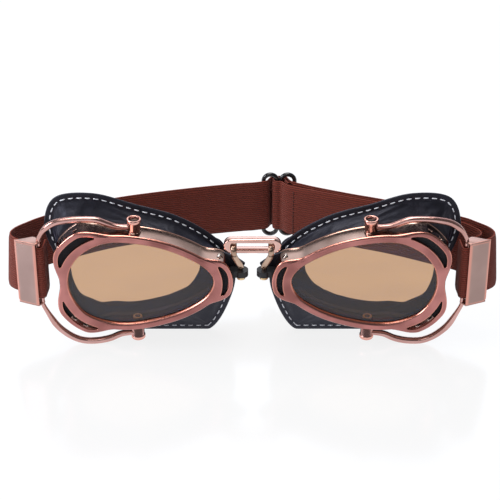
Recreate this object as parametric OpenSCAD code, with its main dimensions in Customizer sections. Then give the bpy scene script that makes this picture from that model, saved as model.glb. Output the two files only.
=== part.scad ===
/* [Lens] */
// Width of one lens opening
lens_w = 62; // [58:0.5:66]
// Height of one lens opening
lens_h = 40; // [36:0.5:42]
// Thickness of a lens
lens_t = 1.6; // [1.2:0.1:2]
// How far a lens reaches behind the plate beyond its opening
lens_lap = 1.4; // [1:0.1:1.6]
// Distance from the middle of the nose to the middle of a lens
lens_x = 47.7; // [46:0.1:50]
// Height of the lens centre above the surface the goggles stand on
lens_z = 34.5; // [34:0.1:36]

/* [Cup frame] */
// Thickness of the front plate
plate_t = 1.6; // [1.2:0.1:2]
// Distance from the pivot axes forward to the front of the plate
plate_front = 6.5; // [6.2:0.1:8]
// Width of the plate round the lens opening, where it is narrowest
rim_w = 3.6; // [3.4:0.1:4.2]
// How much further the plate reaches at the upper outer vent
upper_lobe = 6.1; // [5.6:0.1:6.8]
// How much further the plate reaches at the lower outer vent
lower_lobe = 5; // [4.6:0.1:5.8]
// How much further the plate reaches at the nose vent
nose_lobe = 4.8; // [4.4:0.1:5.2]
// Distance from the lens opening to a vent slot
slot_in = 4; // [3.6:0.1:4.4]
// Width of the plate outside a vent slot
slot_edge = 2.3; // [1.9:0.1:2.4]
// Thickness of the cup's side wall
wall_t = 1.2; // [1:0.1:1.4]
// How far the plate stands out past the side wall
plate_lip = 0.8; // [0.5:0.1:1]
// Distance from the pivot axes back to the rear edge of the side wall
wall_rear = 5; // [4.4:0.1:6]
// Diameter of the air holes in the side wall
air_hole_d = 2; // [1.6:0.1:2.2]

/* [Cushion] */
// Distance from the side wall's rear edge back to the stitched brim
brim_back = 5.5; // [4.5:0.5:7]
// Thickness of the stitched brim
brim_t = 1.3; // [1:0.1:1.8]
// Depth of the padded ring behind the side wall
pad_depth = 14; // [12:0.5:16]

/* [Bail] */
// Distance from the middle of the nose to the bail's pivot screws
pivot_x = 50; // [49:0.1:51]
// Diameter of a pivot screw's shank
screw_d = 2.4; // [2:0.1:2.6]
// Outer diameter of a bail barrel
barrel_d = 5.4; // [5:0.1:5.8]
// Outer diameter of the rim at a barrel's end
barrel_rim_d = 6.2; // [5.9:0.1:6.4]
// Length of a bail's upper barrel
barrel_h = 5.6; // [5.2:0.1:6]
// Length of a bail's lower barrel
low_barrel_h = 7.8; // [7:0.1:8]
// Height of the bail strip
bail_h = 2.4; // [2:0.1:2.6]
// Height of the bail strip next to a barrel
bail_neck = 1.7; // [1.4:0.1:1.9]
// Depth of the bail strip from front to back
bail_t = 2.6; // [2:0.1:2.8]
// Distance from the middle of the nose to the bail's upright rod
rod_x = 90.9; // [90.5:0.1:93]
// Diameter of the bail's upright rod
rod_d = 1.9; // [1.6:0.1:2]
// Running clearance of a pin in its hole, on the radius
pin_play = 0.06; // [0.03:0.01:0.08]

/* [Strap clip] */
// Height of a strap clip
clip_h = 31.2; // [30:0.2:32]
// Thickness of the clip's sheet metal
sheet_t = 0.8; // [0.6:0.1:0.9]
// Width of the clip's front face
clip_face_w = 10; // [9:0.1:10.5]
// Angle by which the clip's front face turns outwards
clip_yaw = 23; // [21:1:27]
// Gap from the rod to the inside of the clip's front face
clip_room = 1.6; // [1.5:0.1:1.8]

/* [Strap] */
// Width of the elastic strap
strap_w = 25; // [22:0.5:26]
// Thickness of the elastic strap
strap_t = 1.2; // [0.9:0.1:1.4]
// Distance from the pivot axes back to the slider
slider_y = 59.5; // [56:0.5:63]
// Diameter of the slider's bars
slider_bar_d = 2; // [1.8:0.1:2.2]
// Height of the slider
slider_h = 32; // [31:0.5:34]
// Width of one slider loop
slider_loop_w = 8.2; // [8:0.1:8.8]

/* [Nose bridge] */
// Distance from the middle of the nose to a hook's stem
stem_x = 4.9; // [4.6:0.1:5.2]
// Diameter of a hook's stem
stem_d = 1.6; // [1.4:0.1:1.8]
// Width of a hook's strip
hook_w = 2; // [1.6:0.1:2.2]
// Thickness of a hook's strip
hook_t = 0.95; // [0.8:0.05:1.1]
// Height of the top of a nose lug above the surface
lug_top = 38; // [37:0.1:39]
// Height of a nose lug
lug_h = 2.7; // [2.2:0.1:3]
// Diameter of a nose lug's round end
lug_d = 6.2; // [5.6:0.1:6.6]
// Length of the bridge link
link_w = 24.4; // [23:0.2:26]
// Height of the bridge link
link_h = 6.6; // [6.4:0.1:7]
// Depth of the bridge link from front to back
link_t = 3.6; // [3:0.1:3.8]
// Width of the link's long bars
link_bar = 1.4; // [1.2:0.1:1.5]
// Width of the link at its round ends
link_end = 2.9; // [2.5:0.1:3.1]
// Height of the link's lower bar centre above the surface
link_z = 47.7; // [47:0.1:49]

/* [Hidden] */
$fn = 48;
side_gap = 0.1;
SEG = 5;

// Outline of the lens opening, on a lens that reaches from -1 to 1 both ways. The outboard end is at +1.
LENS = [[1, 0], [0.93, 0.44], [0.72, 0.8], [0.38, 1], [-0.1, 0.93], [-0.5, 0.73], [-0.86, 0.4],
        [-1, 0.04], [-0.88, -0.37], [-0.5, -0.75], [0, -0.98], [0.4, -1], [0.75, -0.8], [0.94, -0.42]];
// How far the leather brim stands out from the lens opening, in millimetres, at the same points
BRIM = [[5.9, 0], [13, 9.3], [14.5, 16.6], [8.5, 14.8], [5.4, 10.8], [-0.2, 9], [-5, 5.1],
        [-8.7, -0.2], [-11.6, -8.1], [-13.2, -19.4], [-9.7, -15], [-0.1, -13.2], [6, -9.5], [7.4, -4.6]];

// How far the padded ring's opening lies from the lens opening, at the same points
HOLE = [[0.9, -1.5], [1, 2], [1, 2.5], [0.5, 2.3], [0, 2], [1, 1.8], [4, 1],
        [6.6, -1], [4.2, -1.1], [-1.2, -1.9], [-1.7, -3.2], [0.4, -5.3], [2, -5.7], [1.5, -4.1]];

// One span of a Catmull-Rom curve
function span(a, b, c, d, t) =
    0.5 * ((2 * b) + (c - a) * t + (2 * a - 5 * b + 4 * c - d) * t * t + (3 * b - a - 3 * c + d) * t * t * t);
function closed_curve(p, n = SEG) =
    [for (i = [0 : len(p) - 1], k = [0 : n - 1])
        span(p[(i + len(p) - 1) % len(p)], p[i], p[(i + 1) % len(p)], p[(i + 2) % len(p)], k / n)];
function open_curve(p, n = SEG) =
    concat([for (i = [0 : len(p) - 2], k = [0 : n - 1])
        span(p[max(i - 1, 0)], p[i], p[i + 1], p[min(i + 2, len(p) - 1)], k / n)], [p[len(p) - 1]]);
function unit(v) = v / norm(v);
function left_of(v) = [-v[1], v[0]];
function closed_normal(c, i) = -left_of(unit(c[(i + 1) % len(c)] - c[(i + len(c) - 1) % len(c)]));
function open_normal(c, i) = left_of(unit(c[min(i + 1, len(c) - 1)] - c[max(i - 1, 0)]));
// A closed curve pushed outwards by a distance for each of its points
function pushed(c, w) = [for (i = [0 : len(c) - 1]) c[i] + w[i] * closed_normal(c, i)];
// A ribbon of the given thickness along an open curve
function ribbon(c, w) = concat(
    [for (i = [0 : len(c) - 1]) c[i] + w[i] / 2 * open_normal(c, i)],
    [for (i = [len(c) - 1 : -1 : 0]) c[i] - w[i] / 2 * open_normal(c, i)]);
function even(c, w) = [for (p = c) w];
function ease(t) = let (k = min(max(t, 0), 1)) k * k * (3 - 2 * k);
function lobe(s, from, to, rise, fall) = ease((s - from) / rise) * ease((to - s) / fall);

// The lens opening and, along it, how far the plate reaches
LENS_EDGE = closed_curve([for (p = LENS) [lens_x + p[0] * lens_w / 2, lens_z + p[1] * lens_h / 2]]);
COUNT = len(LENS_EDGE);
function place_of(i) = i / SEG;
function reach(s) = rim_w + upper_lobe * lobe(s, 0, 3.1, 1.3, 1.1) + lower_lobe * lobe(s, 10.9, 13.9, 0.9, 1.3)
    + nose_lobe * lobe(s, 5.7, 8.15, 0.8, 0.8);
REACH = [for (i = [0 : COUNT - 1]) reach(place_of(i))];
PLATE_EDGE = pushed(LENS_EDGE, REACH);
WALL_OUT = pushed(LENS_EDGE, [for (w = REACH) w - plate_lip]);
WALL_IN = pushed(LENS_EDGE, [for (w = REACH) w - plate_lip - wall_t]);
BRIM_FREE = closed_curve([for (i = [0 : len(LENS) - 1])
    [lens_x + LENS[i][0] * lens_w / 2 + BRIM[i][0], lens_z + LENS[i][1] * lens_h / 2 + BRIM[i][1]]]);
// The brim is flattened where the goggles stand on it
BRIM_EDGE = [for (p = BRIM_FREE) [p[0], max(p[1], 0)]];

plate_back = -plate_front + plate_t;
lens_back = plate_back + lens_t;
gasket_t = 1;
gasket_back = lens_back + gasket_t;
rib_t = 1.2;

// Where the barrels stand on the cup: the flat seats above and below the side wall
function edge_z(c, x, top) = let (
    z = [for (i = [0 : len(c) - 1]) let (a = c[i], b = c[(i + 1) % len(c)])
        if ((a[0] - x) * (b[0] - x) <= 0 && (a[0] != b[0]))
            a[1] + (b[1] - a[1]) * (x - a[0]) / (b[0] - a[0])]) top ? max(z) : min(z);
seat_h = 0.5;
seat_d = 5.8;
wall_top = edge_z(WALL_OUT, pivot_x, true);
wall_bottom = edge_z(WALL_OUT, pivot_x, false);
wall_top_in = edge_z(WALL_IN, pivot_x, true);
wall_bottom_in = edge_z(WALL_IN, pivot_x, false);
seat_top = wall_top + seat_h;
seat_bottom = wall_bottom - seat_h;
barrel_rim_h = 1.6;
recess_h = 1.8;
head_d = barrel_rim_d - 2;
head_h = 1;
nut_d = 4;
nut_h = 1.4;
nut_gap = 0.3;

// Centre lines of the bail's arms, seen from the front, from a barrel to the rod
arm_drop = 3.9;
low_arm_drop = 2.6;
arm_top_z = seat_top + side_gap + barrel_h - arm_drop;
arm_bottom_z = seat_bottom - side_gap - low_barrel_h + low_arm_drop;
foot_z = bail_h / 2;
clip_z = lens_z + 2.1;
rod_top = clip_z + clip_h / 2 + 0.4;
rod_bottom = clip_z - clip_h / 2 - 0.4;
UPPER_ARM = [[pivot_x, arm_top_z], [pivot_x + 7, arm_top_z + 0.1], [pivot_x + 11.5, arm_top_z + 1.6],
    [pivot_x + 16, arm_top_z + 3.3], [pivot_x + 22, arm_top_z + 3.6], [rod_x - 13, arm_top_z + 3.2],
    [rod_x - 7.4, arm_top_z + 1.9], [rod_x - 3, arm_top_z - 1.2], [rod_x - 0.6, rod_top + 1.6], [rod_x, rod_top]];
LOWER_ARM = [[pivot_x, arm_bottom_z], [pivot_x + 7, arm_bottom_z - 0.8], [pivot_x + 12, foot_z + 1.6],
    [pivot_x + 16, foot_z + 0.3], [pivot_x + 19.5, foot_z - 0.05], [rod_x - 18, foot_z - 0.05],
    [rod_x - 14.4, foot_z + 0.6], [rod_x - 10, foot_z + 3.4], [rod_x - 5, foot_z + 8.7],
    [rod_x - 1.1, rod_bottom - 2.8], [rod_x, rod_bottom]];

// The clip, seen from above: its front face runs from the inner corner to the outer one
clip_clear = rod_d / 2 + clip_room + sheet_t;
FACE_DIR = [cos(clip_yaw), sin(clip_yaw)];
FACE_IN = [rod_x, 0] + clip_clear * [FACE_DIR[1], -FACE_DIR[0]];
FACE_OUT = FACE_IN + clip_face_w * FACE_DIR;
CLIP_REAR = [rod_x + 2.6, 3.8];
knuckle_d = 4;
clip_bottom = clip_z - clip_h / 2;

// The strap, seen from above
strap_z = clip_z + 0.4;
loop_r = rod_d / 2 + 0.15 + strap_t / 2;
bar_r = slider_bar_d / 2;
// The slider's two loops touch, and their inner sides together make its middle bar
slider_x = 12.2;
loop_step = slider_loop_w / 2 - 0.15;
side_bar = loop_step + slider_loop_w / 2 - bar_r;
mid_bar = 2 * loop_step - side_bar;
wrap_r = bar_r + 0.15 + strap_t / 2;
bend_out = wrap_r + 0.35 + strap_t;
// Points near the slider are counted from its middle
function at_slider(points) = [for (p = points) [slider_x + p[0], slider_y + p[1]]];
// One length runs from the left clip through the slider, behind its middle bar, to the right clip
MAIN_RUN = concat([[-rod_x - 1.6, 2.3], [-rod_x - 6, 4.4], [-rod_x - 11, 7.1], [-rod_x - 13.5, 11],
    [-rod_x - 12, 15.8], [-rod_x - 7, 20.8], [-rod_x - 1.1, 25.5], [-77, slider_y - 24.9],
    [-61, slider_y - 17.3], [-41.5, slider_y - 11.6], [-22, slider_y - 7], [-6, slider_y - 3.9]],
    at_slider([[-side_bar - 5, -3.1], [-side_bar - 2, -2.4], [-side_bar, -wrap_r - 0.2],
    [1.6 - side_bar, -1.1], [2.5 - side_bar, 0.5], [-mid_bar - 2.9, 2.1], [-mid_bar - 1.5, bend_out - 0.4],
    [-mid_bar, bend_out - 0.07], [mid_bar + 0.4, bend_out - 0.07],
    [mid_bar + 2.3, 2.5], [side_bar - 3.1, 1], [side_bar - 2.3, -0.7], [side_bar - 1.1, -2.1],
    [side_bar + 0.6, -wrap_r - 1.4], [side_bar + 3.4, -4.5]]),
    [[29, slider_y - 7.5], [43.7, slider_y - 13.4], [61, slider_y - 19.8], [78, slider_y - 28.3],
    [rod_x + 1.1, 25], [rod_x + 7, 20.6], [rod_x + 12, 15.8], [rod_x + 13.5, 11], [rod_x + 11, 7.1],
    [rod_x + 6, 4.4], [rod_x + 1.6, 2.3]]);
// The other length is turned round the middle bar and back on itself, where it is sewn, and goes to the right clip
INNER_RUN = concat(at_slider([[mid_bar + 3.35, -3.1], [mid_bar + 2.5, -1.6], [mid_bar + 1.95, -0.2],
    [mid_bar + 1.45, 1], [mid_bar + 0.3, wrap_r], [-mid_bar, wrap_r],
    [-mid_bar - 0.72 * wrap_r, 0.72 * wrap_r], [-mid_bar - wrap_r, 0], [-mid_bar - 0.75 * wrap_r, -0.75 * wrap_r],
    [-mid_bar, -wrap_r - 0.1], [mid_bar + 0.35, -wrap_r - 0.45], [mid_bar + 4.05, -6.1]]),
    [[29, slider_y - 10.9], [43.7, slider_y - 16.6], [61, slider_y - 23.1], [78, slider_y - 31.3],
    [rod_x - 0.8, 21.3], [rod_x + 4.6, 16.8], [rod_x + 7.6, 12.6], [rod_x + 6.6, 9.2], [rod_x + 2.4, 6.6],
    [rod_x - 0.4, loop_r + 0.1]]);

// The nose bridge: a link lying on edge, with an eye of each hook round its lower bar
link_low = link_z - link_bar / 2;
hook_gap = 0.5;
slot_h = link_h - 2 * link_bar;
slot_r = 1.2;
eye_x = link_w / 2 - link_end - hook_w / 2 - 0.4;
eye_r = norm([link_t / 2, link_bar / 2 + 0.25]) + 0.15;
lug_low = lug_top - lug_h;
cap_h = 1.6;
cap_d = 3.6;
cap_low = lug_low - side_gap - cap_h;

back_y = slider_y + bend_out + strap_t / 2;
mid_y = (back_y - plate_front) / 2;

// Every piece is drawn with the pivot axes at y = 0, and then moved so that the whole part is centred
module goggles() {
    translate([0, -mid_y, 0]) children();
}
// Pieces of a side are drawn on the right and mirrored to the left
module on_side(side) {
    goggles() mirror([side == "left" ? 1 : 0, 0, 0]) children();
}
// A shape drawn seen from the front, given its depth from one distance behind the pivot axes to another
module from_front(y0, y1) {
    translate([0, y1, 0]) rotate([90, 0, 0]) linear_extrude(y1 - y0) children();
}

// A vent slot follows the lens opening on its inner side and the plate's edge on its outer side
module vent_slot(from, to) {
    s = [for (k = [0 : 12]) from + (to - from) * k / 12];
    c = closed_curve([for (p = LENS) [lens_x + p[0] * lens_w / 2, lens_z + p[1] * lens_h / 2]], 20);
    at = [for (v = s) round(v * 20)];
    near = [for (i = at) c[i] + slot_in * closed_normal(c, i)];
    far = [for (i = at) c[i] + (reach(i / 20) - slot_edge) * closed_normal(c, i)];
    polygon(concat(near, [for (k = [12 : -1 : 0]) far[k]]));
    for (k = [0, 12]) translate((near[k] + far[k]) / 2) circle(d = norm(near[k] - far[k]), $fn = 24);
}
module plate_shape() {
    difference() {
        polygon(PLATE_EDGE);
        polygon(LENS_EDGE);
        vent_slot(0.8, 2.5);
        vent_slot(11.5, 13.1);
        vent_slot(6.55, 7.45);
    }
}
// A row of air holes through the side wall, square to it
module air_holes(from, count, step) {
    for (k = [0 : count - 1]) {
        i = from + k * step;
        n = closed_normal(LENS_EDGE, i);
        p = LENS_EDGE[i] + (REACH[i] - plate_lip) * n;
        translate([p[0], -1.2, p[1]]) rotate([0, atan2(n[0], n[1]), 0])
            cylinder(d = air_hole_d, h = 4 * wall_t, center = true);
    }
}
module cup_frame(side) {
    color("rosybrown") on_side(side) difference() {
        union() {
            from_front(-plate_front, plate_back) plate_shape();
            from_front(plate_back, wall_rear) difference() {
                polygon(WALL_OUT);
                polygon(WALL_IN);
            }
            from_front(plate_back, gasket_back) difference() {
                polygon(pushed(LENS_EDGE, even(LENS_EDGE, lens_lap + side_gap + rib_t)));
                polygon(pushed(LENS_EDGE, even(LENS_EDGE, lens_lap + side_gap)));
            }
            translate([pivot_x, 0, wall_top_in + 0.2]) cylinder(d = seat_d, h = seat_top - wall_top_in - 0.2);
            translate([pivot_x, 0, seat_bottom]) cylinder(d = seat_d, h = wall_bottom_in - 0.2 - seat_bottom);
        }
        translate([pivot_x, 0, seat_bottom - 1]) cylinder(d = screw_d + 2 * pin_play, h = seat_top - seat_bottom + 2);
        air_holes(4, 4, 2);
        air_holes(57, 4, 2);
    }
}
module lens(side) {
    color("peru", 0.6) on_side(side) from_front(plate_back, lens_back)
        polygon(pushed(LENS_EDGE, even(LENS_EDGE, lens_lap)));
}
module lens_gasket(side) {
    color("dimgray") on_side(side) from_front(lens_back, gasket_back) difference() {
        polygon(pushed(LENS_EDGE, even(LENS_EDGE, lens_lap)));
        polygon(pushed(LENS_EDGE, even(LENS_EDGE, 0.2)));
    }
}
// A thin ring inside the side wall's rear edge, which clamps the cushion's leather to the cup
ring_t = 0.8;
ring_front = 2.6;
module cushion_ring(side) {
    color("darkslategray") on_side(side) from_front(ring_front, wall_rear) difference() {
        polygon(WALL_IN);
        polygon(pushed(WALL_IN, even(WALL_IN, -ring_t)));
    }
}

// The padded ring: a crowned section is carried round the cup, from the side wall out to the brim
PAD_HOLE = closed_curve([for (i = [0 : len(LENS) - 1])
    [lens_x + LENS[i][0] * lens_w / 2 + HOLE[i][0], lens_z + LENS[i][1] * lens_h / 2 + HOLE[i][1]]]);
function between(a, b, t) = a + (b - a) * t;
function pad_section(i) = let (
    wi = WALL_IN[i] - ring_t * closed_normal(WALL_IN, i), wo = WALL_OUT[i], b = BRIM_EDGE[i], h = PAD_HOLE[i],
    y0 = wall_rear, y1 = wall_rear + brim_back, y2 = wall_rear + pad_depth) [
    [wi[0], y0, wi[1]],
    [wo[0], y0, wo[1]],
    let (p = between(wo, b, 0.3)) [p[0], y0 + 0.1 * brim_back, p[1]],
    let (p = between(wo, b, 0.62)) [p[0], y0 + 0.42 * brim_back, p[1]],
    let (p = between(wo, b, 0.8)) [p[0], y1 - 0.2 * brim_back, p[1]],
    [b[0], y1, b[1]],
    [b[0], y1 + brim_t, b[1]],
    let (p = between(wo, b, 0.75)) [p[0], y1 + brim_t + 1.2, p[1]],
    let (p = between(wo, b, 0.45)) [p[0], y2 - 2, p[1]],
    let (p = between(h, wo, 0.75)) [p[0], y2, p[1]],
    let (p = between(h, wo, 0.2)) [p[0], y2 - 1.2, p[1]],
    [h[0], y2 - 4.5, h[1]]];
module cushion(side) {
    rings = [for (i = [0 : COUNT - 1]) pad_section(i)];
    m = len(rings[0]);
    pts = [for (r = rings) each r];
    quads = [for (i = [0 : COUNT - 1], k = [0 : m - 1]) let (j = (i + 1) % COUNT, l = (k + 1) % m)
        each [[i * m + k, j * m + k, j * m + l], [i * m + k, j * m + l, i * m + l]]];
    color("darkslategray") on_side(side) polyhedron(pts, quads);
}
// A pointed tab of the cushion's leather, behind the nose lug
tab_t = 1.4;
module nose_tab(side) {
    color("black") on_side(side) from_front(wall_rear - tab_t, wall_rear) difference() {
        polygon([[13, lens_z + 10], [7.5, lens_z + 7.5], [3.2, lens_z + 4], [4.5, lens_z + 1.5], [12, lens_z - 2]]);
        polygon(pushed(WALL_OUT, even(WALL_OUT, 0.05)));
    }
}

// One barrel of the bail, standing on its seat, with a recess for the screw's head
module barrel(h) {
    difference() {
        union() {
            cylinder(d = barrel_d, h = h);
            translate([0, 0, h - barrel_rim_h]) cylinder(d = barrel_rim_d, h = barrel_rim_h);
        }
        translate([0, 0, -1]) cylinder(d = screw_d + 2 * pin_play, h = h + 2);
        translate([0, 0, h - recess_h]) cylinder(d = head_d + 0.3, h = recess_h + 1);
    }
}
module arm(points) {
    c = [for (p = open_curve(points)) [p[0], max(p[1], foot_z)]];
    w = [for (i = [0 : len(c) - 1]) bail_neck + (bail_h - bail_neck) * ease(i / 16)];
    difference() {
        from_front(-bail_t / 2, bail_t / 2) polygon(ribbon(c, w));
        translate([pivot_x, 0, points[0][1]]) cylinder(d = barrel_d - 0.4, h = 20, center = true);
    }
}
module bail(side) {
    color("indianred") on_side(side) union() {
        arm(UPPER_ARM);
        arm(LOWER_ARM);
        translate([rod_x, 0, rod_bottom - 0.5]) cylinder(d = rod_d, h = rod_top - rod_bottom + 1);
        translate([pivot_x, 0, seat_top + side_gap]) barrel(barrel_h);
        translate([pivot_x, 0, seat_bottom - side_gap]) mirror([0, 0, 1]) barrel(low_barrel_h);
    }
}
// A pivot screw: a slotted head in the barrel's recess and a shank that ends in the nut inside the cup
module pivot_screw(reach_in) {
    difference() {
        union() {
            cylinder(d = head_d, h = head_h);
            translate([0, 0, -reach_in]) cylinder(d = screw_d, h = reach_in + head_h / 2);
        }
        translate([-head_d, -0.3, head_h - 0.5]) cube([2 * head_d, 0.6, 1]);
    }
}
module pivot_screws(side) {
    head_up = side_gap + barrel_h - recess_h;
    head_down = side_gap + low_barrel_h - recess_h;
    color("gray") on_side(side) {
        translate([pivot_x, 0, seat_top + head_up]) pivot_screw(seat_top + head_up - wall_top_in + nut_gap + nut_h);
        translate([pivot_x, 0, seat_bottom - head_down]) mirror([0, 0, 1])
            pivot_screw(wall_bottom_in - seat_bottom + head_down + nut_gap + nut_h);
    }
}
module nut() {
    difference() {
        cylinder(d = nut_d, h = nut_h);
        translate([0, 0, -1]) cylinder(d = screw_d, h = nut_h + 2);
    }
}
module pivot_nuts(side) {
    color("goldenrod") on_side(side) {
        translate([pivot_x, 0, wall_top_in - nut_gap - nut_h]) nut();
        translate([pivot_x, 0, wall_bottom_in + nut_gap]) nut();
    }
}

// The strap clip: a bent front sheet with an end cap above and below, both turning on the bail's rod
module clip_plan() {
    polygon([FACE_IN, FACE_OUT, CLIP_REAR]);
    hull() {
        translate([rod_x, 0]) circle(d = knuckle_d);
        translate(between(FACE_IN, CLIP_REAR, 0.5)) circle(d = 2);
    }
}
module strap_clip(side) {
    n = [-FACE_DIR[1], FACE_DIR[0]];
    color("rosybrown") on_side(side) difference() {
        union() {
            translate([0, 0, clip_bottom]) linear_extrude(clip_h)
                polygon([FACE_IN, FACE_OUT, FACE_OUT + sheet_t * n, FACE_IN + sheet_t * n]);
            for (z = [clip_bottom, clip_bottom + clip_h - sheet_t])
                translate([0, 0, z]) linear_extrude(sheet_t) clip_plan();
        }
        translate([rod_x, 0, clip_bottom - 1]) cylinder(d = rod_d + 2 * pin_play, h = clip_h + 2);
    }
}

// The nose lug, which carries the hook's stem, meets the side wall at the nose
module nose_lug(side) {
    color("black") on_side(side) difference() {
        union() {
            translate([stem_x, 0, lug_low]) cylinder(d = lug_d, h = lug_h);
            translate([stem_x, -lug_d / 2 + 0.6, lug_low]) cube([8, lug_d - 1.2, lug_h]);
        }
        translate([stem_x, 0, lug_low - 1]) cylinder(d = stem_d + 2 * pin_play, h = lug_h + 2);
        from_front(-lug_d, lug_d) polygon(WALL_OUT);
    }
}
// A hook: an eye round the link's lower bar, a leaning strip and a stem that turns in the lug
module nose_hook(side) {
    neck = open_curve([[stem_x, lug_top + hook_gap], [stem_x + 0.5, lug_top + 2.2], [eye_x - 0.5, link_z - eye_r - 1.6],
        [eye_x, link_z - eye_r - hook_t / 2]]);
    color("rosybrown") on_side(side) union() {
        translate([eye_x - hook_w / 2, 0, link_z]) rotate([0, 90, 0]) difference() {
            cylinder(r = eye_r + hook_t, h = hook_w);
            translate([0, 0, -1]) cylinder(r = eye_r, h = hook_w + 2);
        }
        from_front(-hook_t / 2, hook_t / 2) polygon(ribbon(neck, even(neck, hook_w)));
        translate([stem_x, 0, cap_low + 0.3]) cylinder(d = stem_d, h = lug_top + 1 - cap_low);
    }
}
module hook_nut(side) {
    color("goldenrod") on_side(side) difference() {
        translate([stem_x, 0, cap_low]) cylinder(d = cap_d, h = cap_h);
        translate([stem_x, 0, cap_low + 0.3]) cylinder(d = stem_d, h = cap_h);
    }
}
module rounded(w, h, r) {
    square([w - 2 * r, h], center = true);
    square([w, h - 2 * r], center = true);
    for (x = [-1, 1], z = [-1, 1]) translate([x * (w / 2 - r), z * (h / 2 - r)]) circle(r = r);
}
module bridge_link() {
    color("indianred") goggles() translate([0, 0, link_low + link_h / 2]) from_front(-link_t / 2, link_t / 2)
        difference() {
            rounded(link_w, link_h, link_h / 2 - 0.01);
            rounded(link_w - 2 * link_end, slot_h, slot_r);
        }
}

// A length of strap standing on edge along a curve seen from above
module strap_run(c) {
    translate([0, 0, strap_z - strap_w / 2]) linear_extrude(strap_w) polygon(ribbon(c, even(c, strap_t)));
}
module strap_main() {
    color("saddlebrown") goggles() strap_run(open_curve(MAIN_RUN));
}
module strap_return() {
    color("sienna") goggles() strap_run(open_curve(INNER_RUN));
}
module wire_loop() {
    turn_r = slider_loop_w / 2 - bar_r;
    straight = slider_h / 2 - bar_r - turn_r;
    for (x = [-turn_r, turn_r]) translate([x, 0, -straight]) cylinder(d = slider_bar_d, h = 2 * straight);
    for (end = [0, 1]) mirror([0, 0, end]) translate([0, 0, straight]) rotate([90, 0, 0])
        rotate_extrude(angle = 180) translate([turn_r, 0]) circle(d = slider_bar_d);
}
module slider() {
    color("black") goggles() translate([slider_x, slider_y, strap_z])
        for (x = [-loop_step, loop_step]) translate([x, 0, 0]) wire_loop();
}

cup_frame("left");  // cup_frame_left
cup_frame("right");  // cup_frame_right
lens("left");  // lens_left
lens("right");  // lens_right
lens_gasket("left");  // lens_gasket_left
lens_gasket("right");  // lens_gasket_right
cushion_ring("left");  // cushion_ring_left
cushion_ring("right");  // cushion_ring_right
cushion("left");  // cushion_left
cushion("right");  // cushion_right
nose_tab("left");  // nose_tab_left
nose_tab("right");  // nose_tab_right
bail("left");  // bail_left
bail("right");  // bail_right
pivot_screws("left");  // pivot_screws_left
pivot_screws("right");  // pivot_screws_right
pivot_nuts("left");  // pivot_nuts_left
pivot_nuts("right");  // pivot_nuts_right
strap_clip("left");  // strap_clip_left
strap_clip("right");  // strap_clip_right
nose_lug("left");  // nose_lug_left
nose_lug("right");  // nose_lug_right
nose_hook("left");  // nose_hook_left
nose_hook("right");  // nose_hook_right
hook_nut("left");  // hook_nut_left
hook_nut("right");  // hook_nut_right
bridge_link();
strap_main();
strap_return();
slider();
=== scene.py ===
import math

import bmesh
import bpy
import numpy as np
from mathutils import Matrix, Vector


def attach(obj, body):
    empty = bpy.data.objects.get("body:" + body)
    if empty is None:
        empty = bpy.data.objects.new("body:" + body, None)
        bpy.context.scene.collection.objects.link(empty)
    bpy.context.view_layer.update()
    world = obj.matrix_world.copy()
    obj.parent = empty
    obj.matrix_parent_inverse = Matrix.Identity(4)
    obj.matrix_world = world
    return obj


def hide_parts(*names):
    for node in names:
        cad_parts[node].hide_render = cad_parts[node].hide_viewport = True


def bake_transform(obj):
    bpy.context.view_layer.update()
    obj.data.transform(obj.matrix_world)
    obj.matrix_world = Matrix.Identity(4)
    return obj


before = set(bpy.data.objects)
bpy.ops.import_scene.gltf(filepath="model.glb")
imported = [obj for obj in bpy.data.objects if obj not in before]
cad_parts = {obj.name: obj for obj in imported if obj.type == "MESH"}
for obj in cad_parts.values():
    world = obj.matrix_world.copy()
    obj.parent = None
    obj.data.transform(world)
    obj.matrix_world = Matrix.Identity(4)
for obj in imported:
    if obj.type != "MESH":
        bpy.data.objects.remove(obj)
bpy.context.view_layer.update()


# ---- The photographer's table ----
# A white glazed sweep under a softbox overhead, one at the left and a weak one in front. The
# camera stands in front of the goggles and looks down on them by 31 degrees.

def linear(colour):
    """An sRGB hex colour as the linear numbers that a shader takes."""
    parts = [int(colour[i:i + 2], 16) / 255 for i in (1, 3, 5)]
    return [c / 12.92 if c <= 0.04045 else ((c + 0.055) / 1.055) ** 2.4 for c in parts] + [1.0]


def add(tree, kind, sockets=None, **settings):
    """Adds a node. Settings are its own; sockets has a value, a link or a linked node for its inputs."""
    made = tree.nodes.new("ShaderNode" + kind)
    for key, value in settings.items():
        setattr(made, key, value)
    for key, value in (sockets or {}).items():
        if isinstance(value, bpy.types.Node):
            value = value.outputs[0]
        if isinstance(value, bpy.types.NodeSocket):
            tree.links.new(value, made.inputs[key])
        else:
            made.inputs[key].default_value = value
    return made


def new_material(name):
    material = bpy.data.materials.new(name)
    material.use_nodes = True
    material.node_tree.nodes.clear()
    return material, material.node_tree


scene = bpy.context.scene
scene.view_settings.view_transform = "Standard"

camera_data = bpy.data.cameras.new("camera")
camera_data.sensor_width = 36
camera_data.lens = 118.44
camera_data.clip_start = 0.02
camera_data.clip_end = 20
camera = bpy.data.objects.new("camera", camera_data)
camera.location = (-0.00106, -0.62845, 0.4082)
camera.rotation_euler = (math.radians(59), 0, 0)
scene.collection.objects.link(camera)
scene.camera = camera

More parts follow.
